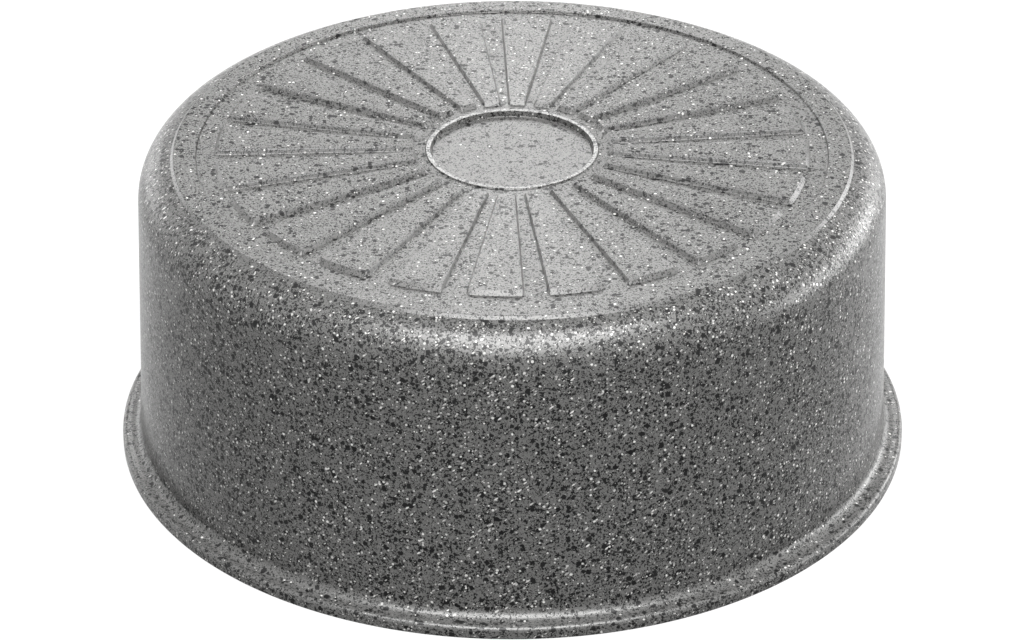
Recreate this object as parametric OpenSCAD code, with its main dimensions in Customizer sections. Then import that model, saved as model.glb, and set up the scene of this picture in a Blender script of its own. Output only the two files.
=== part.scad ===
// Cast aluminium camping pot, shown as it is stored: upside down on its rim.
// The origin is at the centre of the rim face and +Z runs up to the base.
// The pot is one casting. Its section is drawn once and revolved, and the
// raised panels of the base are cut from a ring and laid round its axis.

/* [Overall] */
// Outside diameter of the rim
rim_d = 260; // [200:1:320]
// Height from the rim face to the tops of the base panels
pot_h = 103.7; // [75:0.1:180]

/* [Rim] */
// Width of the flange outside the wall
flange_w = 6.3; // [5:0.1:14]
// Thickness of the flange
rim_t = 4.2; // [2.5:0.1:7]
// Rounding of the flange's outer edges
rim_edge_r = 0.5; // [0.2:0.1:1]
// Fillet between the flange and the wall
rim_fillet_r = 3.5; // [1.5:0.1:4.5]
// Rounding of the mouth's inner edge
mouth_edge_r = 1.4; // [0.4:0.1:2]

/* [Wall] */
// Thickness of the side wall
wall_t = 3.2; // [2.4:0.1:5]
// Draft of the side wall, in degrees
wall_draft = 1.85; // [0.3:0.05:5]
// Outside radius between the wall and the base
corner_r = 14; // [8:0.5:20]
// Inside radius between the wall and the base
inner_corner_r = 12; // [6:0.5:18]

/* [Base] */
// Thickness of the base at the floor between its panels
base_t = 5; // [3.5:0.1:8]
// Tilt of the narrow shoulder inside the corner, in degrees
shoulder_tilt = 14; // [6:0.5:20]
// Width of that shoulder
shoulder_w = 0.3; // [0.2:0.1:6]
// Height of the bevel round the foot ring
bevel_h = 1.05; // [0.4:0.05:1.6]
// Width of that bevel, seen from above
bevel_w = 0.95; // [0.4:0.05:3]
// Width of the flat foot ring
foot_ring_w = 7.1; // [4:0.1:14]
// How far the foot ring lies below the panel tops
foot_ring_drop = 0.6; // [0.1:0.05:0.8]
// Width of the slope on the inner edge of the foot ring
foot_slope_w = 0.35; // [0.1:0.05:1.5]

/* [Panels] */
// Number of raised panels
panel_count = 24; // [12:1:30]
// Height of the panels above the floor
panel_h = 1.45; // [0.9:0.05:2]
// Angle of the groove between two panels, at the floor
groove_angle = 4.3; // [2:0.1:6]
// Run of the slope on each long side of a panel
panel_side_run = 0.6; // [0.2:0.05:0.9]
// Run of the slope on each end of a panel
panel_end_run = 1.25; // [0.5:0.05:2.5]
// Channel between the foot ring and the panels
channel_w = 5.7; // [3:0.1:12]
// Gap between the medallion's lip and the panels
panel_gap = 3.2; // [0.8:0.1:6]
// Azimuth of the first panel's centre line
panel_phase = 11.9; // [0:0.1:15]

/* [Medallion] */
// Outside diameter of the medallion's lip
medallion_d = 55.6; // [46:0.1:80]
// Width of the lip's flat top
lip_w = 1.5; // [0.6:0.1:3]
// Height of the lip above the floor
lip_h = 0.45; // [0.2:0.05:0.8]
// Run of the slope on the outside of the lip
lip_run = 0.2; // [0.1:0.05:0.8]
// Depth of the medallion's face below the floor
medallion_depth = 1.7; // [0.8:0.1:2.2]
// Run of the slope inside the lip
recess_run = 0.5; // [0.2:0.05:1.5]

/* [Hidden] */
$fn = 180;

// Radii and levels of the base, from the axis outwards
floor_z = pot_h - panel_h;
foot_ring_z = pot_h - foot_ring_drop;
lip_z = floor_z + lip_h;
medallion_z = floor_z - medallion_depth;
medallion_r = medallion_d / 2;
recess_r = medallion_r - lip_w;
shoulder_z = foot_ring_z - bevel_h;

// The wall's outer face is a straight line in the section
wall_r = rim_d / 2 - flange_w;
function wall_line_r(z) = wall_r - (z - rim_t) * tan(wall_draft);
wall_normal = [cos(wall_draft), sin(wall_draft)];
shoulder_normal = [sin(shoulder_tilt), cos(shoulder_tilt)];

// Where the shoulder and the wall would meet, and the arc that rounds them
corner_setback = corner_r * tan((90 - wall_draft - shoulder_tilt) / 2);
shoulder_reach = corner_setback + shoulder_w;
meet_z = shoulder_z - shoulder_reach * sin(shoulder_tilt);
meet = [wall_line_r(meet_z), meet_z];
shoulder_r = meet[0] - shoulder_reach * cos(shoulder_tilt);
arc_start = meet + corner_setback * [-cos(shoulder_tilt), sin(shoulder_tilt)];
arc_centre = arc_start - corner_r * shoulder_normal;
arc_end = arc_centre + corner_r * wall_normal;

// The foot ring lies inside the bevel, and the panels inside the foot ring
foot_outer_r = shoulder_r - bevel_w;
foot_inner_r = foot_outer_r - foot_ring_w;
panel_outer_r = foot_inner_r - foot_slope_w - channel_w;
panel_inner_r = medallion_r + lip_run + panel_gap;

// Inside of the pot
inner_z = floor_z - base_t;
wall_offset = wall_t / cos(wall_draft);
function inner_line_r(z) = wall_line_r(z) - wall_offset;
inner_arc_z = inner_z - inner_corner_r;
inner_arc_r = inner_line_r(inner_arc_z) - inner_corner_r / cos(wall_draft);
inner_arc_centre = [inner_arc_r, inner_arc_z];
inner_arc_end = inner_arc_centre + inner_corner_r * wall_normal;

// Fillet on top of the flange
fillet_z = rim_t + rim_fillet_r;
fillet_centre = [wall_line_r(fillet_z) + rim_fillet_r / cos(wall_draft), fillet_z];
fillet_top = fillet_centre - rim_fillet_r * wall_normal;

// Rounding of the mouth's inner edge
mouth_z = mouth_edge_r;
mouth_centre = [inner_line_r(mouth_z) + mouth_edge_r / cos(wall_draft), mouth_z];
mouth_top = mouth_centre - mouth_edge_r * wall_normal;

// Lean of the panels' long sides, and how far cutters and panels overlap
side_lean = atan(panel_side_run / panel_h);
overlap = 1;
panel_sink = 0.6;

// Body with its base relief, seen in section from the axis outwards
module body_outline() {
    polygon([
        [0, 0],
        [wall_line_r(0), 0],
        arc_end,
        arc_start,
        [shoulder_r, shoulder_z],
        [foot_outer_r, foot_ring_z],
        [foot_inner_r, foot_ring_z],
        [foot_inner_r - foot_slope_w, floor_z],
        [medallion_r + lip_run, floor_z],
        [medallion_r, lip_z],
        [recess_r, lip_z],
        [recess_r - recess_run, medallion_z],
        [0, medallion_z]
    ]);
    translate(arc_centre) circle(corner_r);
}

// Flat flange with rounded outer edges
module flange_outline() {
    rim_r = rim_d / 2;
    square([rim_r - rim_edge_r, rim_t]);
    translate([0, rim_edge_r]) square([rim_r, rim_t - 2 * rim_edge_r]);
    for (z = [rim_edge_r, rim_t - rim_edge_r])
        translate([rim_r - rim_edge_r, z]) circle(rim_edge_r);
}

// Hollow fillet where the flange meets the wall
module flange_fillet_outline() {
    difference() {
        polygon([
            [wall_line_r(rim_t) - overlap, rim_t - overlap],
            [fillet_centre[0], rim_t - overlap],
            [fillet_centre[0], rim_t],
            fillet_centre,
            fillet_top,
            fillet_top - [overlap, 0]
        ]);
        translate(fillet_centre) circle(rim_fillet_r);
    }
}

// Space inside the pot, with the rounded edge of its mouth
module inside_outline() {
    polygon([
        [0, -overlap],
        [inner_line_r(-overlap), -overlap],
        inner_arc_end,
        [inner_arc_centre[0], inner_z],
        [0, inner_z]
    ]);
    intersection() {
        translate(inner_arc_centre) circle(inner_corner_r);
        translate([0, inner_arc_centre[1] - overlap]) square([wall_r, inner_corner_r + overlap]);
    }
    difference() {
        polygon([
            [inner_line_r(0) - overlap, -overlap],
            [mouth_centre[0], -overlap],
            mouth_centre,
            mouth_top,
            mouth_top - [overlap, 0]
        ]);
        translate(mouth_centre) circle(mouth_edge_r);
    }
}

// Whole casting without its panels
module shell() {
    rotate_extrude() difference() {
        union() {
            body_outline();
            flange_outline();
            flange_fillet_outline();
        }
        inside_outline();
    }
}

// Ring from which the panels are cut, with sloped inner and outer ends
module panel_ring() {
    rotate_extrude() polygon([
        [panel_inner_r, floor_z - panel_sink],
        [panel_outer_r, floor_z - panel_sink],
        [panel_outer_r, floor_z],
        [panel_outer_r - panel_end_run, pot_h],
        [panel_inner_r + panel_end_run, pot_h],
        [panel_inner_r, floor_z]
    ]);
}

// Everything on one side of a leaning plane through a radial line of the floor
module side_of_line(azimuth, side) {
    reach = 2 * panel_outer_r;
    rotate([0, 0, azimuth])
        translate([0, 0, floor_z])
            rotate([side * side_lean, 0, 0])
                translate([0, side > 0 ? -reach : 0, -reach / 2])
                    cube([reach, reach, reach]);
}

// One raised panel between two grooves
module panel(centre_azimuth) {
    half_angle = (360 / panel_count - groove_angle) / 2;
    intersection() {
        panel_ring();
        side_of_line(centre_azimuth - half_angle, -1);
        side_of_line(centre_azimuth + half_angle, 1);
    }
}

// The pot: shell, rim and embossed base in one piece
module pot() {
    color([0.45, 0.45, 0.44]) union() {
        shell();
        for (i = [0 : panel_count - 1])
            panel(panel_phase + i * 360 / panel_count);
    }
}

pot();
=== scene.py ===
"""Looks of the cast camping pot: its stone-effect coating, soft studio light and the camera."""

import math
from collections import namedtuple

import bpy
from mathutils import Matrix, Vector


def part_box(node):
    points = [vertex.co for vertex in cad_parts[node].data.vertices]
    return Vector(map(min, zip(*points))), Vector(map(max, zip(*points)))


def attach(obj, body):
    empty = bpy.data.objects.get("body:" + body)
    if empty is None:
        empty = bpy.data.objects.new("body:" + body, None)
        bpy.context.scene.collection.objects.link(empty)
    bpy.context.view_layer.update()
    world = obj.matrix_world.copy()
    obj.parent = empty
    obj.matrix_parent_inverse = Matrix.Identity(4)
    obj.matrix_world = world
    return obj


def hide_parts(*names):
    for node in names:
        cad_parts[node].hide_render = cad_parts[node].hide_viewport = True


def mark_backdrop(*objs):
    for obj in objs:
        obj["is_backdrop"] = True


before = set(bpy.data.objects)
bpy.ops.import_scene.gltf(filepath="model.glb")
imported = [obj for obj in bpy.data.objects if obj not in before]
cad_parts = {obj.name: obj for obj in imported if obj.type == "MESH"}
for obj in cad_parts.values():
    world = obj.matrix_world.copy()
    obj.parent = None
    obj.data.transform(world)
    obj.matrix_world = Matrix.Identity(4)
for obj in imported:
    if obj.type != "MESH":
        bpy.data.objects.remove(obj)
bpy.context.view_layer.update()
pot_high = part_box("pot")[1]

MM = 0.001

# Overall sizes, read from the frame
RIM_R = pot_high.x
POT_H = pot_high.z

# Rim and wall
FLANGE_W = 6.3 * MM
RIM_T = 4.2 * MM
RIM_TOP_R = 1.5 * MM
RIM_EDGE_R = 0.5 * MM
RIM_FILLET_R = 3.5 * MM
MOUTH_EDGE_R = 1.4 * MM
WALL_T = 3.2 * MM
WALL_DRAFT = math.radians(1.85)
CORNER_R = 14 * MM
INNER_CORNER_R = 12 * MM

# Base, from the corner inwards
BASE_T = 5 * MM
SHOULDER_TILT = math.radians(14)
SHOULDER_W = 0.3 * MM
BEVEL_H = 1.05 * MM
BEVEL_W = 0.95 * MM
FOOT_RING_W = 7.1 * MM
FOOT_RING_DROP = 0.6 * MM
FOOT_SLOPE_W = 0.35 * MM

# Raised panels
PANEL_COUNT = 24
PANEL_H = 1.45 * MM
GROOVE_ANGLE = math.radians(4.3)
PANEL_SIDE_RUN = 0.6 * MM
PANEL_END_RUN = 1.25 * MM
CHANNEL_W = 5.7 * MM
PANEL_GAP = 3.2 * MM
PANEL_PHASE = math.radians(11.9)

# Medallion
MEDALLION_R = 27.8 * MM
LIP_W = 1.5 * MM
LIP_H = 0.45 * MM
LIP_RUN = 0.2 * MM
MEDALLION_DEPTH = 1.4 * MM
RECESS_RUN = 0.5 * MM

# Small roundings of the casting, under its coat
FOOT_FILLET = 0.22 * MM
CREST_ROUND = 0.26 * MM
SIDE_ROUND = 0.25 * MM
END_ROUND = 0.1 * MM
LIP_ROUND = 0.16 * MM

# Steps of the arcs in the section
SMALL_STEPS = 2
CORNER_STEPS = 16
FILLET_STEPS = 8
RIM_TOP_STEPS = 5
RIM_EDGE_STEPS = 4
MOUTH_STEPS = 6
INNER_CORNER_STEPS = 12

# Rows of points: how close to an edge a flat has one, the shortest flat that has any, and the longest step
SUPPORT = 0.12 * MM
SHORT_FLAT = 3 * SUPPORT
LONGEST_STEP = 25 * MM

# Distance from the panels' ends at which the columns begin to spread evenly
EVEN_MARGIN = 0.5 * MM

# Tolerances: points on one level, and points that are one
LEVEL_MARGIN = 0.01 * MM
WELD = 0.0015 * MM

# Levels and radii that follow
FLOOR_Z = POT_H - PANEL_H
FOOT_RING_Z = POT_H - FOOT_RING_DROP
LIP_Z = FLOOR_Z + LIP_H
MEDALLION_Z = FLOOR_Z - MEDALLION_DEPTH
INNER_Z = FLOOR_Z - BASE_T
SHOULDER_Z = FOOT_RING_Z - BEVEL_H
WALL_R = RIM_R - FLANGE_W
RECESS_R = MEDALLION_R - LIP_W
MEDALLION_FACE_R = RECESS_R - RECESS_RUN
SECTOR = 2 * math.pi / PANEL_COUNT
PANEL_HALF_ANGLE = (SECTOR - GROOVE_ANGLE) / 2

# Upward part of the normal above which a face of the base counts as flat
FLAT_ENOUGH = 0.8

# Share of a panel's height above which a column belongs to the panel and not to its groove
ON_PANEL = 0.5

# Flecks as a share of the wall's: on the base and the flange, on the bright facets and on the medallion. The
# facets' few flecks are a painted highlight: they make the panels' ends and the foot ring's bevel lighter in
# colour all round.
BASE_FLECKS = 0.7
FACET_FLECKS_PAINTED_HIGHLIGHT = 0.35
MEDALLION_FLECKS = 0.3

# Weight of the clear layer: on the flange and round the corner, on the facets and on the panels' sides
GLOSS = 0.4
FACET_GLOSS = 0.6
SIDE_GLOSS = 0.9

# Heights on the outside between which the clear layer sets in
GLOSS_STARTS_Z = SHOULDER_Z - 1.3 * CORNER_R
GLOSS_FULL_Z = SHOULDER_Z - 0.4 * CORNER_R

# Roughness of the clear layer, and how it changes the share of metal under it where it is full
CLEAR_ROUGHNESS = 0.4
GLOSS_COVERS = -1.1

# Colours of the coat
GROUND_DARK = (0.105, 0.1045, 0.102, 1)
GROUND_LIGHT = (0.170, 0.169, 0.1655, 1)
BLACK_FLECK = (0.002, 0.002, 0.002, 1)
DARK_FLECK = (0.010, 0.010, 0.010, 1)
WHITE_FLECK = (0.72, 0.715, 0.70, 1)
PALE_FLECK = (0.32, 0.316, 0.308, 1)

# Fineness of the coat's patterns, in features per metre
DRIFT_SCALE = 110
SPECK_SCALE = 1050
OUTLINE_SCALE = 1500
FINE_SCALE = 1650
GROUND_SCALE = 2300
PEEL_SCALE = 2600

# Density of the flecks: the least, and what a drift adds at most
LEAST_DENSITY = 0.55
DRIFT_DENSITY = 0.9

# Level above which a pattern shows as specks, how density changes it, and how soft the specks' edges are
SPECK_LEVEL = 0.684
FINE_LEVEL = 0.690
LEVEL_BY_DENSITY = -0.10
SPECK_EDGE = 0.012

# How far the outlines of fine specks, grains and chips are pushed about
FINE_PUSH = 1.5 * MM
GRAIN_PUSH = 0.9 * MM
CHIP_PUSH = 0.4 * MM

# Layers of flecks: the share of the cells that hold one, and the flecks' radii as shares of a cell
Layer = namedtuple("Layer", "per_metre share smallest largest")
GRAINS = Layer(per_metre=640, share=0.7, smallest=0.10, largest=0.72)
CHIPS = Layer(per_metre=840, share=0.72, smallest=0.10, largest=0.38)
SLIVERS = Layer(per_metre=800, share=0.5, smallest=0.12, largest=0.25)

# Softness of the flecks' edges, and the power that makes large flecks rare
FLECK_EDGE = 0.05
LARGE_ARE_RARE = 3.0

# Lean of the slivers, and the scale along them that draws them out
SLIVER_LEAN = math.radians(38)
SLIVER_STRETCH = 0.35

# Power that thins the light flecks out faster than the dark ones
CHIP_THINNING = 3.5

# Contrast of the ground's fine grain: what its pattern is multiplied by, and what is added
GROUND_GAIN = 3.0
GROUND_OFFSET = -1.0

# Depth of the coat's unevenness, and how far the turned rings stretch reflections
PEEL_DEPTH = 0.05 * MM
RING_STRETCH = 0.8

# Inputs and output of a Mix node that mixes colours
MIX_SHARE = 0
MIX_FIRST = 6
MIX_SECOND = 7
MIX_RESULT = 2

# Studio: half the floor's width, the paper's shade and glow, and the light of the surroundings
FLOOR_HALF = 6.0
PAPER = 0.1
PAPER_GLOW = 0.9
WORLD_LEVEL = 0.05
LIGHT_TARGET = Vector((0, 0, 60 * MM))
LIGHT_DISTANCE = 1.2

# Camera, from the photograph's ellipses
CAMERA_TARGET = Vector((-0.12 * MM, 0, 38.6 * MM))
CAMERA_DISTANCE = 1.3433
CAMERA_ELEVATION = math.radians(29.99)
CAMERA_ROLL = math.radians(-0.107)
CAMERA_LENS = 142.87
SENSOR_WIDTH = 36


def wall_r(z):
    """Outer radius of the drafted wall at height z."""
    return WALL_R - (z - RIM_T) * math.tan(WALL_DRAFT)


def inner_r(z):
    """Inner radius of the drafted wall at height z."""
    return wall_r(z) - WALL_T / math.cos(WALL_DRAFT)


# Where the shoulder and the wall would meet, and the radii of the base that follow from it
CORNER_SETBACK = CORNER_R * math.tan((math.pi / 2 - WALL_DRAFT - SHOULDER_TILT) / 2)
SHOULDER_REACH = CORNER_SETBACK + SHOULDER_W
MEET_Z = SHOULDER_Z - SHOULDER_REACH * math.sin(SHOULDER_TILT)
SHOULDER_R = wall_r(MEET_Z) - SHOULDER_REACH * math.cos(SHOULDER_TILT)
FOOT_OUTER_R = SHOULDER_R - BEVEL_W
FOOT_INNER_R = FOOT_OUTER_R - FOOT_RING_W
CHANNEL_R = FOOT_INNER_R - FOOT_SLOPE_W
PANEL_OUTER_R = CHANNEL_R - CHANNEL_W
PANEL_INNER_R = MEDALLION_R + LIP_RUN + PANEL_GAP


def straight(start, end):
    """Points between two ends: one close to each end, so that the flat shades flat, and even ones between."""
    way = end - start
    if way.length < SHORT_FLAT:
        return []
    step = way.normalized() * SUPPORT
    first, last = start + step, end - step
    parts = math.ceil((last - first).length / LONGEST_STEP)
    return [first.lerp(last, i / parts) for i in range(parts + 1)]


def rounded(corners):
    """Points along corners (across, up, radius, steps), each turned on an arc of that many steps."""
    spots = [Vector(corner[:2]) for corner in corners]
    ways = [(b - a).normalized() for a, b in zip(spots, spots[1:])]
    pieces = [[spots[0]]]
    for spot, corner, arrive, leave in zip(spots[1:], corners[1:], ways, ways[1:]):
        radius, steps = corner[2:]
        turn = math.atan2(arrive.cross(leave), arrive.dot(leave))
        start = spot - arrive * radius * math.tan(abs(turn) / 2)
        inward = Vector((-arrive.y, arrive.x)) * math.copysign(radius, turn)
        arc = [Matrix.Rotation(turn * i / steps, 2) @ -inward for i in range(steps + 1)]
        pieces.append([start + inward + spoke for spoke in arc])
    pieces.append([spots[-1]])
    points = list(pieces[0])
    for piece in pieces[1:]:
        points += straight(points[-1], piece[0])
        points += piece
    return points


def smooth_step(low, high, value):
    """0 below low, 1 above high, and a smooth rise between."""
    share = min(max((value - low) / (high - low), 0.0), 1.0)
    return share * share * (3 - 2 * share)


def evenness(r):
    """How evenly the columns lie at radius r of the base: 0 along the panels, 1 away from them."""
    outside = smooth_step(PANEL_OUTER_R + EVEN_MARGIN, CHANNEL_R - EVEN_MARGIN, r)
    inside = smooth_step(PANEL_INNER_R - EVEN_MARGIN, MEDALLION_R + LIP_RUN, r)
    return max(outside, inside)


def pot_rows():
    """Rows (radius, height, panel rise, evenness) from the centre of the base round to that of the inside."""
    middle = rounded([
        (0, MEDALLION_Z),
        (MEDALLION_FACE_R, MEDALLION_Z, FOOT_FILLET, SMALL_STEPS),
        (RECESS_R, LIP_Z, LIP_ROUND, SMALL_STEPS),
        (MEDALLION_R, LIP_Z, LIP_ROUND, SMALL_STEPS),
        (MEDALLION_R + LIP_RUN, FLOOR_Z, LIP_ROUND, SMALL_STEPS),
        (PANEL_INNER_R - EVEN_MARGIN, FLOOR_Z),
    ])
    panels = rounded([
        (PANEL_INNER_R - EVEN_MARGIN, 0),
        (PANEL_INNER_R, 0, END_ROUND, SMALL_STEPS),
        (PANEL_INNER_R + PANEL_END_RUN, PANEL_H, END_ROUND, SMALL_STEPS),
        (PANEL_OUTER_R - PANEL_END_RUN, PANEL_H, END_ROUND, SMALL_STEPS),
        (PANEL_OUTER_R, 0, END_ROUND, SMALL_STEPS),
        (PANEL_OUTER_R + EVEN_MARGIN, 0),
    ])
    outside = rounded([
        (PANEL_OUTER_R + EVEN_MARGIN, FLOOR_Z),
        (CHANNEL_R, FLOOR_Z, FOOT_FILLET, SMALL_STEPS),
        (FOOT_INNER_R, FOOT_RING_Z, CREST_ROUND, SMALL_STEPS),
        (FOOT_OUTER_R, FOOT_RING_Z, CREST_ROUND, SMALL_STEPS),
        (SHOULDER_R, SHOULDER_Z, FOOT_FILLET, SMALL_STEPS),
        (wall_r(MEET_Z), MEET_Z, CORNER_R, CORNER_STEPS),
        (wall_r(RIM_T), RIM_T, RIM_FILLET_R, FILLET_STEPS),
        (RIM_R, RIM_T, RIM_TOP_R, RIM_TOP_STEPS),
        (RIM_R, 0, RIM_EDGE_R, RIM_EDGE_STEPS),
        (inner_r(0), 0, MOUTH_EDGE_R, MOUTH_STEPS),
        (inner_r(INNER_Z), INNER_Z, INNER_CORNER_R, INNER_CORNER_STEPS),
        (0, INNER_Z),
    ])
    below = next(i for i, point in enumerate(outside) if point.y < POT_H / 2)
    rows = [(p.x, p.y, 0.0, evenness(p.x)) for p in middle[:-1]]
    rows += [(p.x, FLOOR_Z, p.y, 0.0) for p in panels[:-1]]
    rows += [(p.x, p.y, 0.0, evenness(p.x)) for p in outside[:below]]
    rows += [(p.x, p.y, 0.0, 1.0) for p in outside[below:]]
    return rows


def panel_side():
    """A panel's long side as (distance from its foot line, height), from the groove up to the panel's top."""
    return rounded([
        (-SIDE_ROUND - SUPPORT, 0),
        (0, 0, SIDE_ROUND, SMALL_STEPS),
        (PANEL_SIDE_RUN, PANEL_H, SIDE_ROUND, SMALL_STEPS),
        (PANEL_SIDE_RUN + SIDE_ROUND + SUPPORT, PANEL_H),
    ])[1:-1]


def column_rises():
    """Share of the panel's height at each column of a sector, from the middle of one groove to the next."""
    half = [0.0] + [point.y / PANEL_H for point in panel_side()] + [1.0]
    return half + [1.0] + half[::-1]


def column_azimuths(r, even):
    """Azimuths of a sector's columns at radius r. They follow the panel's edges unless they lie evenly."""
    near = min(max(r, PANEL_INNER_R), PANEL_OUTER_R)
    half = [-SECTOR / 2]
    half += [math.asin(point.x / near) - PANEL_HALF_ANGLE for point in panel_side()]
    half.append(half[-1] / 2)
    shaped = half + [0.0] + [-azimuth for azimuth in half[::-1]]
    last = len(shaped) - 1
    return [a + (SECTOR * (i / last - 0.5) - a) * even for i, a in enumerate(shaped)]


def on_facet(r, rise, share):
    """Whether a point lies on a bright facet: an end of a panel, or the bevel of the foot ring."""
    on_end = LEVEL_MARGIN < rise < PANEL_H - LEVEL_MARGIN and share > ON_PANEL
    return on_end or FOOT_OUTER_R < r < SHOULDER_R + LEVEL_MARGIN


def on_flange_top(r, z):
    """Whether a point lies on the top of the flange, with its rounded edge and the foot of its fillet."""
    return r > WALL_R and z > RIM_T - RIM_TOP_R


def fleck_amount(r, z, rise, share):
    """How many flecks the coat shows: most on the wall and inside, fewest on the facets and the medallion. On
    the facets the few flecks are a painted highlight.
    """
    if r < MEDALLION_FACE_R and z > INNER_Z + LEVEL_MARGIN:
        return MEDALLION_FLECKS
    # Fewer flecks on the flange top: partly the coat's own look there, partly painted light that makes the
    # flange's top lighter.
    if on_flange_top(r, z):
        return BASE_FLECKS
    if z < SHOULDER_Z - LEVEL_MARGIN:
        return 1.0
    # Painted highlight: the facets get fewer dark flecks, so that they show lighter in colour, as where the
    # light catches them.
    return FACET_FLECKS_PAINTED_HIGHLIGHT if on_facet(r, rise, share) else BASE_FLECKS


def gloss_amount(r, z, rise, share):
    """Weight of the clear layer: on the facets, the flange, the panels' sides and round the corner."""
    if on_facet(r, rise, share):
        return FACET_GLOSS
    if on_flange_top(r, z):
        return GLOSS
    if LEVEL_MARGIN < rise * share < PANEL_H - LEVEL_MARGIN:
        return SIDE_GLOSS
    if r < SHOULDER_R or z < POT_H / 2:
        return 0.0
    return GLOSS * smooth_step(GLOSS_STARTS_Z, GLOSS_FULL_Z, z)


def is_turned(face):
    """Whether a face lies on the flats of the base that were turned smooth before they were coated."""
    radius = face.center.xy.length
    on_base = MEDALLION_R < radius < SHOULDER_R and face.center.z > SHOULDER_Z
    return on_base and face.normal.z > FLAT_ENOUGH


def is_medallion(face):
    """Whether a face lies on the sunk face of the medallion."""
    return face.center.xy.length < MEDALLION_FACE_R and face.normal.z > FLAT_ENOUGH


def sector_faces(rings, width):
    """Faces between rings of that many points, with a pole before the first ring and one after the last."""
    faces = [(0, 1 + i, 2 + i) for i in range(width - 1)]
    for ring in range(rings - 1):
        start = 1 + ring * width
        for i in range(start, start + width - 1):
            faces.append((i, i + width, i + width + 1, i + 1))
    start = 1 + (rings - 1) * width
    pole = start + width
    faces += [(pole, start + i + 1, start + i) for i in range(width - 1)]
    return faces


def pot_sector():
    """One sector of the pot as a mesh: a panel, half a groove on each side, and the wall and rim below."""
    rows = pot_rows()
    rings = rows[1:-1]
    rises = column_rises()
    points, amounts, glosses = [(0, 0, rows[0][1])], [MEDALLION_FLECKS], [0.0]
    for r, z, rise, even in rings:
        for azimuth, share in zip(column_azimuths(r, even), rises):
            points.append((r * math.cos(azimuth), r * math.sin(azimuth), z + rise * share))
            amounts.append(fleck_amount(r, z, rise, share))
            glosses.append(gloss_amount(r, z, rise, share))
    points.append((0, 0, rows[-1][1]))
    amounts.append(1.0)
    glosses.append(0.0)
    mesh = bpy.data.meshes.new("pot_sector")
    mesh.from_pydata(points, [], sector_faces(len(rings), len(rises)))
    for name, values in (("fleck_amount", amounts), ("gloss", glosses)):
        mesh.attributes.new(name, "FLOAT", "POINT").data.foreach_set("value", values)
    for name, belongs in (("turned", is_turned), ("medallion", is_medallion)):
        chosen = [belongs(face) for face in mesh.polygons]
        mesh.attributes.new(name, "BOOLEAN", "FACE").data.foreach_set("value", chosen)
    return mesh


def socket(tree, name, kind, way="INPUT", default=None):
    """Adds a named socket to a node tree's interface."""
    made = tree.interface.new_socket(name=name, in_out=way, socket_type=kind)
    if default is not None:
        made.default_value = default
    return made


def wire(tree, *links):
    """Links pairs of sockets in a node tree."""
    for start, end in links:
        tree.links.new(start, end)


def feed(tree, value, target):
    """Gives a node's input its value: a link from a socket, or a plain number or colour."""
    if isinstance(value, bpy.types.NodeSocket):
        tree.links.new(value, target)
    else:
        target.default_value = value


def round_axis_tree():
    """A geometry tree that lays copies of a sector round the axis, welds them and sets their finishes."""
    tree = bpy.data.node_groups.new("round_the_axis", "GeometryNodeTree")
    socket(tree, "Sector", "NodeSocketGeometry")
    socket(tree, "Copies", "NodeSocketInt", default=PANEL_COUNT)
    socket(tree, "Phase", "NodeSocketFloat", default=0.0)
    socket(tree, "Weld Distance", "NodeSocketFloat", default=WELD)
    socket(tree, "Finish", "NodeSocketMaterial")
    socket(tree, "Turned Finish", "NodeSocketMaterial")
    socket(tree, "Medallion Finish", "NodeSocketMaterial")
    socket(tree, "Geometry", "NodeSocketGeometry", way="OUTPUT")
    new = tree.nodes.new
    given, result = new("NodeGroupInput"), new("NodeGroupOutput")
    points, index = new("GeometryNodePoints"), new("GeometryNodeInputIndex")
    step, angle, turn = new("ShaderNodeMath"), new("ShaderNodeMath"), new("ShaderNodeCombineXYZ")
    copies, real = new("GeometryNodeInstanceOnPoints"), new("GeometryNodeRealizeInstances")
    weld, smooth = new("GeometryNodeMergeByDistance"), new("GeometryNodeSetShadeSmooth")
    finish = new("GeometryNodeSetMaterial")
    step.operation = "DIVIDE"
    step.inputs[0].default_value = 2 * math.pi
    angle.operation = "MULTIPLY_ADD"
    wire(
        tree,
        (given.outputs["Copies"], points.inputs["Count"]),
        (given.outputs["Copies"], step.inputs[1]),
        (index.outputs["Index"], angle.inputs[0]),
        (step.outputs[0], angle.inputs[1]),
        (given.outputs["Phase"], angle.inputs[2]),
        (angle.outputs[0], turn.inputs["Z"]),
        (points.outputs["Points"], copies.inputs["Points"]),
        (given.outputs["Sector"], copies.inputs["Instance"]),
        (turn.outputs["Vector"], copies.inputs["Rotation"]),
        (copies.outputs["Instances"], real.inputs["Geometry"]),
        (real.outputs["Geometry"], weld.inputs["Geometry"]),
        (given.outputs["Weld Distance"], weld.inputs["Distance"]),
        (weld.outputs["Geometry"], smooth.inputs["Geometry"]),
        (smooth.outputs["Geometry"], finish.inputs["Geometry"]),
        (given.outputs["Finish"], finish.inputs["Material"]),
    )
    for name in ("turned", "medallion"):
        chosen, own_finish = new("GeometryNodeInputNamedAttribute"), new("GeometryNodeSetMaterial")
        chosen.data_type = "BOOLEAN"
        chosen.inputs["Name"].default_value = name
        wire(
            tree,
            (finish.outputs["Geometry"], own_finish.inputs["Geometry"]),
            (chosen.outputs["Attribute"], own_finish.inputs["Selection"]),
            (given.outputs[name.capitalize() + " Finish"], own_finish.inputs["Material"]),
        )
        finish = own_finish
    wire(tree, (finish.outputs["Geometry"], result.inputs["Geometry"]))
    return tree


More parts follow.
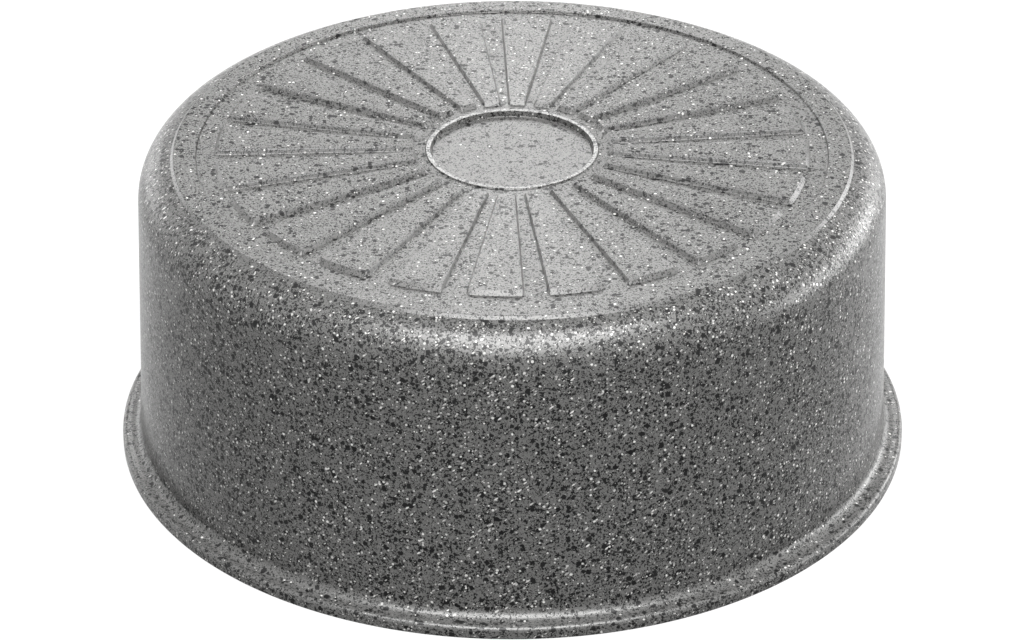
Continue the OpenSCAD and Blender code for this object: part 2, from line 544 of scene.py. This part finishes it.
def grown(name, start_mesh, tree, **inputs):
    """A plain mesh object made by running a geometry tree on a starting mesh."""
    start_mesh.materials.append(inputs["Finish"])
    seed = bpy.data.objects.new(name + "_seed", start_mesh)
    bpy.context.scene.collection.objects.link(seed)
    modifier = seed.modifiers.new("tree", "NODES")
    modifier.node_group = tree
    for item in tree.interface.items_tree:
        if item.in_out == "INPUT" and item.name in inputs:
            modifier[item.identifier] = inputs[item.name]
    graph = bpy.context.evaluated_depsgraph_get()
    mesh = bpy.data.meshes.new_from_object(seed.evaluated_get(graph), depsgraph=graph)
    bpy.data.objects.remove(seed)
    made = bpy.data.objects.new(name, mesh)
    bpy.context.scene.collection.objects.link(made)
    return made


def math_node(tree, operation, *values):
    """A math node whose inputs are sockets or numbers. Returns its output."""
    node = tree.nodes.new("ShaderNodeMath")
    node.operation = operation
    for value, target in zip(values, node.inputs):
        feed(tree, value, target)
    return node.outputs[0]


def noise(tree, place, scale, detail, roughness=0.5):
    """A noise texture on the given coordinates."""
    node = tree.nodes.new("ShaderNodeTexNoise")
    node.inputs["Scale"].default_value = scale
    node.inputs["Detail"].default_value = detail
    node.inputs["Roughness"].default_value = roughness
    tree.links.new(place, node.inputs["Vector"])
    return node


def mixed(tree, share, first, second):
    """A mix of two colours, each a socket or a plain colour. Returns its output."""
    node = tree.nodes.new("ShaderNodeMix")
    node.data_type = "RGBA"
    feed(tree, share, node.inputs[MIX_SHARE])
    feed(tree, first, node.inputs[MIX_FIRST])
    feed(tree, second, node.inputs[MIX_SECOND])
    return node.outputs[MIX_RESULT]


def above(tree, value, level, edge):
    """A soft step that is 1 where a value lies above a level."""
    node = tree.nodes.new("ShaderNodeMapRange")
    node.interpolation_type = "SMOOTHSTEP"
    wire(
        tree,
        (value, node.inputs["Value"]),
        (math_node(tree, "SUBTRACT", level, edge), node.inputs["From Min"]),
        (math_node(tree, "ADD", level, edge), node.inputs["From Max"]),
    )
    return node.outputs["Result"]


def pushed(tree, place, pattern, reach):
    """Coordinates pushed about by a noise pattern, so that round spots get uneven outlines."""
    shift, moved = tree.nodes.new("ShaderNodeVectorMath"), tree.nodes.new("ShaderNodeVectorMath")
    shift.operation = "MULTIPLY_ADD"
    shift.inputs[1].default_value = (reach,) * 3
    shift.inputs[2].default_value = (-reach / 2,) * 3
    wire(
        tree,
        (pattern.outputs["Color"], shift.inputs[0]),
        (place, moved.inputs[0]),
        (shift.outputs[0], moved.inputs[1]),
    )
    return moved.outputs[0]


def leaning(tree, place):
    """Coordinates in which round spots become slivers that lean."""
    turned, stretched = tree.nodes.new("ShaderNodeMapping"), tree.nodes.new("ShaderNodeMapping")
    turned.inputs["Rotation"].default_value = (0, SLIVER_LEAN, 0)
    stretched.inputs["Scale"].default_value = (SLIVER_STRETCH, 1, 1)
    wire(
        tree,
        (place, turned.inputs["Vector"]),
        (turned.outputs["Vector"], stretched.inputs["Vector"]),
    )
    return stretched.outputs["Vector"]


def flecks_group():
    """Flecks of stone: a spot in some cells of a 3-D cell pattern. Most are small and a few are large."""
    tree = bpy.data.node_groups.new("stone_flecks", "ShaderNodeTree")
    socket(tree, "Place", "NodeSocketVector")
    socket(tree, "Cells per Metre", "NodeSocketFloat", default=500.0)
    socket(tree, "Share of Cells", "NodeSocketFloat", default=0.5)
    socket(tree, "Smallest", "NodeSocketFloat", default=0.1)
    socket(tree, "Largest", "NodeSocketFloat", default=0.4)
    socket(tree, "Edge", "NodeSocketFloat", default=FLECK_EDGE)
    socket(tree, "Mask", "NodeSocketFloat", way="OUTPUT")
    socket(tree, "Tone", "NodeSocketFloat", way="OUTPUT")
    given, result = tree.nodes.new("NodeGroupInput"), tree.nodes.new("NodeGroupOutput")
    cells, split = tree.nodes.new("ShaderNodeTexVoronoi"), tree.nodes.new("ShaderNodeSeparateColor")
    wire(
        tree,
        (given.outputs["Place"], cells.inputs["Vector"]),
        (given.outputs["Cells per Metre"], cells.inputs["Scale"]),
        (cells.outputs["Color"], split.inputs["Color"]),
    )
    growth = math_node(tree, "POWER", split.outputs["Red"], LARGE_ARE_RARE)
    spread = math_node(tree, "SUBTRACT", given.outputs["Largest"], given.outputs["Smallest"])
    radius = math_node(tree, "MULTIPLY_ADD", spread, growth, given.outputs["Smallest"])
    present = math_node(tree, "LESS_THAN", split.outputs["Green"], given.outputs["Share of Cells"])
    spot = tree.nodes.new("ShaderNodeMapRange")
    spot.interpolation_type = "SMOOTHSTEP"
    wire(
        tree,
        (cells.outputs["Distance"], spot.inputs["Value"]),
        (math_node(tree, "ADD", radius, given.outputs["Edge"]), spot.inputs["From Min"]),
        (math_node(tree, "SUBTRACT", radius, given.outputs["Edge"]), spot.inputs["From Max"]),
        (math_node(tree, "MULTIPLY", spot.outputs["Result"], present), result.inputs["Mask"]),
        (split.outputs["Blue"], result.inputs["Tone"]),
    )
    return tree


def flecks(tree, group, place, layer, amount):
    """One layer of stone flecks, thinned out by an amount from 0 to 1. Returns its mask and its tone."""
    node = tree.nodes.new("ShaderNodeGroup")
    node.node_tree = group
    values = {
        "Place": place,
        "Cells per Metre": layer.per_metre,
        "Share of Cells": math_node(tree, "MULTIPLY", amount, layer.share),
        "Smallest": layer.smallest,
        "Largest": layer.largest,
        "Edge": FLECK_EDGE,
    }
    for name, value in values.items():
        feed(tree, value, node.inputs[name])
    return node.outputs["Mask"], node.outputs["Tone"]


def stone_coat_group():
    """Sprayed stone-effect coat: a grey ground with a fine grain, dark specks and grains, and light chips."""
    tree = bpy.data.node_groups.new("stone_coat", "ShaderNodeTree")
    socket(tree, "Place", "NodeSocketVector")
    socket(tree, "Fleck Amount", "NodeSocketFloat", default=1.0)
    socket(tree, "Colour", "NodeSocketColor", way="OUTPUT")
    socket(tree, "Ground", "NodeSocketFloat", way="OUTPUT")
    given, result = tree.nodes.new("NodeGroupInput"), tree.nodes.new("NodeGroupOutput")
    place, amount = given.outputs["Place"], given.outputs["Fleck Amount"]
    group = flecks_group()

    # Flecks gather in loose drifts, and their outlines are uneven
    drift = noise(tree, place, DRIFT_SCALE, detail=2, roughness=0.6).outputs["Fac"]
    full_density = math_node(tree, "MULTIPLY_ADD", drift, DRIFT_DENSITY, LEAST_DENSITY)
    density = math_node(tree, "MULTIPLY", full_density, amount)
    outline = noise(tree, place, OUTLINE_SCALE, detail=1)

    # Dark flecks are the peaks of two fine patterns, and larger grains
    specks = noise(tree, place, SPECK_SCALE, detail=2, roughness=0.6).outputs["Fac"]
    speck_level = math_node(tree, "MULTIPLY_ADD", density, LEVEL_BY_DENSITY, SPECK_LEVEL)
    fine = noise(tree, pushed(tree, place, outline, FINE_PUSH), FINE_SCALE, detail=1).outputs["Fac"]
    fine_level = math_node(tree, "MULTIPLY_ADD", full_density, LEVEL_BY_DENSITY, FINE_LEVEL)
    grain_place = pushed(tree, place, outline, GRAIN_PUSH)
    grains, grain_tone = flecks(tree, group, grain_place, GRAINS, density)
    dark = math_node(tree, "MAXIMUM", grains, above(tree, specks, speck_level, SPECK_EDGE))
    dark = math_node(tree, "MAXIMUM", dark, above(tree, fine, fine_level, SPECK_EDGE))

    # Light flecks are round chips and slivers
    chip_amount = math_node(tree, "POWER", amount, CHIP_THINNING)
    chip_place = pushed(tree, place, outline, CHIP_PUSH)
    chips, chip_tone = flecks(tree, group, chip_place, CHIPS, chip_amount)
    slivers = flecks(tree, group, leaning(tree, place), SLIVERS, chip_amount)[0]
    light = math_node(tree, "MAXIMUM", chips, slivers)

    texture = noise(tree, place, GROUND_SCALE, detail=2, roughness=0.7).outputs["Fac"]
    ground_share = math_node(tree, "MULTIPLY_ADD", texture, GROUND_GAIN, GROUND_OFFSET)
    ground = mixed(tree, ground_share, GROUND_DARK, GROUND_LIGHT)
    dark_colour = mixed(tree, grain_tone, BLACK_FLECK, DARK_FLECK)
    light_colour = mixed(tree, chip_tone, PALE_FLECK, WHITE_FLECK)
    colour = mixed(tree, light, mixed(tree, dark, ground, dark_colour), light_colour)
    covered = math_node(tree, "MAXIMUM", dark, light)
    wire(
        tree,
        (colour, result.inputs["Colour"]),
        (math_node(tree, "SUBTRACT", 1.0, covered), result.inputs["Ground"]),
    )
    return tree


def coated(name, coat, roughness, specular, metal, grain):
    """A material with the stone-effect coat on metal that shows in its ground. Returns it and its shader."""
    material = bpy.data.materials.new(name)
    material.use_nodes = True
    tree = material.node_tree
    shader = tree.nodes["Principled BSDF"]
    shader.inputs["Specular IOR Level"].default_value = specular
    shader.inputs["Roughness"].default_value = roughness
    shader.inputs["Coat Roughness"].default_value = CLEAR_ROUGHNESS
    place = tree.nodes.new("ShaderNodeTexCoord")
    amount, gloss = tree.nodes.new("ShaderNodeAttribute"), tree.nodes.new("ShaderNodeAttribute")
    amount.attribute_name = "fleck_amount"
    gloss.attribute_name = "gloss"
    layer, bump = tree.nodes.new("ShaderNodeGroup"), tree.nodes.new("ShaderNodeBump")
    layer.node_tree = coat
    bump.inputs["Strength"].default_value = grain
    bump.inputs["Distance"].default_value = PEEL_DEPTH
    peel = noise(tree, place.outputs["Object"], PEEL_SCALE, detail=1)
    bare_metal = math_node(tree, "MULTIPLY_ADD", gloss.outputs["Fac"], GLOSS_COVERS * metal, metal)
    wire(
        tree,
        (place.outputs["Object"], layer.inputs["Place"]),
        (amount.outputs["Fac"], layer.inputs["Fleck Amount"]),
        (layer.outputs["Colour"], shader.inputs["Base Color"]),
        (math_node(tree, "MULTIPLY", layer.outputs["Ground"], bare_metal), shader.inputs["Metallic"]),
        (gloss.outputs["Fac"], shader.inputs["Coat Weight"]),
        (peel.outputs["Fac"], bump.inputs["Height"]),
        (bump.outputs["Normal"], shader.inputs["Normal"]),
    )
    return material, shader


def granite_coating(coat):
    """The coat on the cast surfaces."""
    return coated("granite_coating", coat, roughness=0.29, specular=0.13, metal=0.44, grain=0.12)[0]


def turned_coating(coat):
    """The coat on the turned flats of the base, where fine rings stretch the reflections across them."""
    material, shader = coated("turned_coating", coat, roughness=0.42, specular=0.11, metal=0.27, grain=0.45)
    shader.inputs["Anisotropic"].default_value = RING_STRETCH
    rings = material.node_tree.nodes.new("ShaderNodeTangent")
    rings.direction_type = "RADIAL"
    rings.axis = "Z"
    wire(material.node_tree, (rings.outputs["Tangent"], shader.inputs["Tangent"]))
    return material


def medallion_coating(coat):
    """The coat on the medallion's face, which is grainier and less metallic than on the turned flats."""
    return coated("medallion_coating", coat, roughness=0.36, specular=0.11, metal=0.16, grain=1.0)[0]


def white_rays(tree, seen):
    """1 for the rays that see a white background: those of the camera, of reflections and through glass."""
    ray = math_node(tree, "MAXIMUM", seen.outputs["Is Camera Ray"], seen.outputs["Is Glossy Ray"])
    return math_node(tree, "MAXIMUM", ray, seen.outputs["Is Transmission Ray"])


def paper_floor():
    """White paper: it glows for white rays, takes the pot's soft shadow, and is clear from below."""
    material = bpy.data.materials.new("paper_floor")
    material.use_nodes = True
    tree = material.node_tree
    nodes = tree.nodes
    nodes.remove(nodes["Principled BSDF"])
    paper, glow = nodes.new("ShaderNodeBsdfDiffuse"), nodes.new("ShaderNodeEmission")
    both, through = nodes.new("ShaderNodeAddShader"), nodes.new("ShaderNodeBsdfTransparent")
    sides, side = nodes.new("ShaderNodeMixShader"), nodes.new("ShaderNodeNewGeometry")
    seen = nodes.new("ShaderNodeLightPath")
    paper.inputs["Color"].default_value = (PAPER, PAPER, PAPER, 1)
    wire(
        tree,
        (math_node(tree, "MULTIPLY", white_rays(tree, seen), PAPER_GLOW), glow.inputs["Strength"]),
        (paper.outputs[0], both.inputs[0]),
        (glow.outputs[0], both.inputs[1]),
        (side.outputs["Backfacing"], sides.inputs[0]),
        (both.outputs[0], sides.inputs[1]),
        (through.outputs[0], sides.inputs[2]),
        (sides.outputs[0], nodes["Material Output"].inputs["Surface"]),
    )
    return material


def floor_sheet():
    """A wide level floor under the pot."""
    corners = [(x * FLOOR_HALF, y * FLOOR_HALF, 0) for x, y in ((-1, -1), (1, -1), (1, 1), (-1, 1))]
    mesh = bpy.data.meshes.new("floor")
    mesh.from_pydata(corners, [], [(0, 1, 2, 3)])
    mesh.materials.append(paper_floor())
    sheet = bpy.data.objects.new("floor", mesh)
    bpy.context.scene.collection.objects.link(sheet)
    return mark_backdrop(sheet)


def studio_world():
    """Plain pale surroundings: white to the camera and in reflections, dimmer as a light."""
    world = bpy.data.worlds.new("studio")
    world.use_nodes = True
    bpy.context.scene.world = world
    tree = world.node_tree
    background = tree.nodes["Background"]
    background.inputs["Color"].default_value = (1, 1, 1, 1)
    seen = tree.nodes.new("ShaderNodeLightPath")
    strength = math_node(tree, "MAXIMUM", white_rays(tree, seen), WORLD_LEVEL)
    wire(tree, (strength, background.inputs["Strength"]))


def softbox(name, azimuth, elevation, width, height, power, distance=LIGHT_DISTANCE):
    """An area light aimed at the pot. Azimuth 0 is in front of the pot and 90 on its right."""
    a, e = math.radians(azimuth), math.radians(elevation)
    way = Vector((math.sin(a) * math.cos(e), -math.cos(a) * math.cos(e), math.sin(e)))
    lamp = bpy.data.lights.new(name, "AREA")
    lamp.shape = "RECTANGLE"
    lamp.size = width
    lamp.size_y = height
    lamp.energy = power
    box = bpy.data.objects.new(name, lamp)
    box.location = LIGHT_TARGET + way * distance
    box.rotation_euler = way.to_track_quat("Z", "Y").to_euler()
    box.visible_camera = False
    bpy.context.scene.collection.objects.link(box)
    return box


def studio_lights():
    """The lamps round the pot. The two low ones light its sides and stay out of its reflections."""
    softbox("key_box", azimuth=-2, elevation=61, width=1.6, height=1.0, power=50, distance=2.0)
    softbox("front_box", azimuth=0, elevation=38, width=0.5, height=0.4, power=5)
    softbox("right_fill", azimuth=45, elevation=66, width=0.4, height=0.4, power=4)
    softbox("left_fill", azimuth=-45, elevation=66, width=0.4, height=0.4, power=2)
    softbox("back_box", azimuth=180, elevation=33, width=0.35, height=0.2, power=2, distance=0.6)
    softbox("right_box", azimuth=104, elevation=2, width=1.2, height=0.6, power=11)
    softbox("right_back_box", azimuth=128, elevation=10, width=0.6, height=0.5, power=2)
    softbox("left_strip", azimuth=222, elevation=4, width=0.5, height=0.5, power=1.5)
    for name, azimuth, power in (("right_low", 122, 25), ("left_low", 216, 19)):
        low = softbox(name, azimuth, elevation=4, width=0.6, height=0.5, power=power)
        low.visible_glossy = False


def camera():
    """The camera, at the photograph's viewing angle."""
    lens = bpy.data.cameras.new("camera")
    lens.lens = CAMERA_LENS
    lens.sensor_width = SENSOR_WIDTH
    eye = bpy.data.objects.new("camera", lens)
    way = Vector((0, -math.cos(CAMERA_ELEVATION), math.sin(CAMERA_ELEVATION)))
    eye.location = CAMERA_TARGET + way * CAMERA_DISTANCE
    turn = way.to_track_quat("Z", "Y").to_matrix() @ Matrix.Rotation(CAMERA_ROLL, 3, "Z")
    eye.rotation_euler = turn.to_euler()
    bpy.context.scene.collection.objects.link(eye)
    bpy.context.scene.camera = eye


bpy.context.scene.view_settings.view_transform = "Standard"
camera()
studio_world()
studio_lights()
floor_sheet()

stone_coat = stone_coat_group()
finishes = {
    "Finish": granite_coating(stone_coat),
    "Turned Finish": turned_coating(stone_coat),
    "Medallion Finish": medallion_coating(stone_coat),
}
pot = grown("pot_shell", pot_sector(), round_axis_tree(), Copies=PANEL_COUNT, Phase=PANEL_PHASE, **finishes)
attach(pot, "root")
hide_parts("pot")
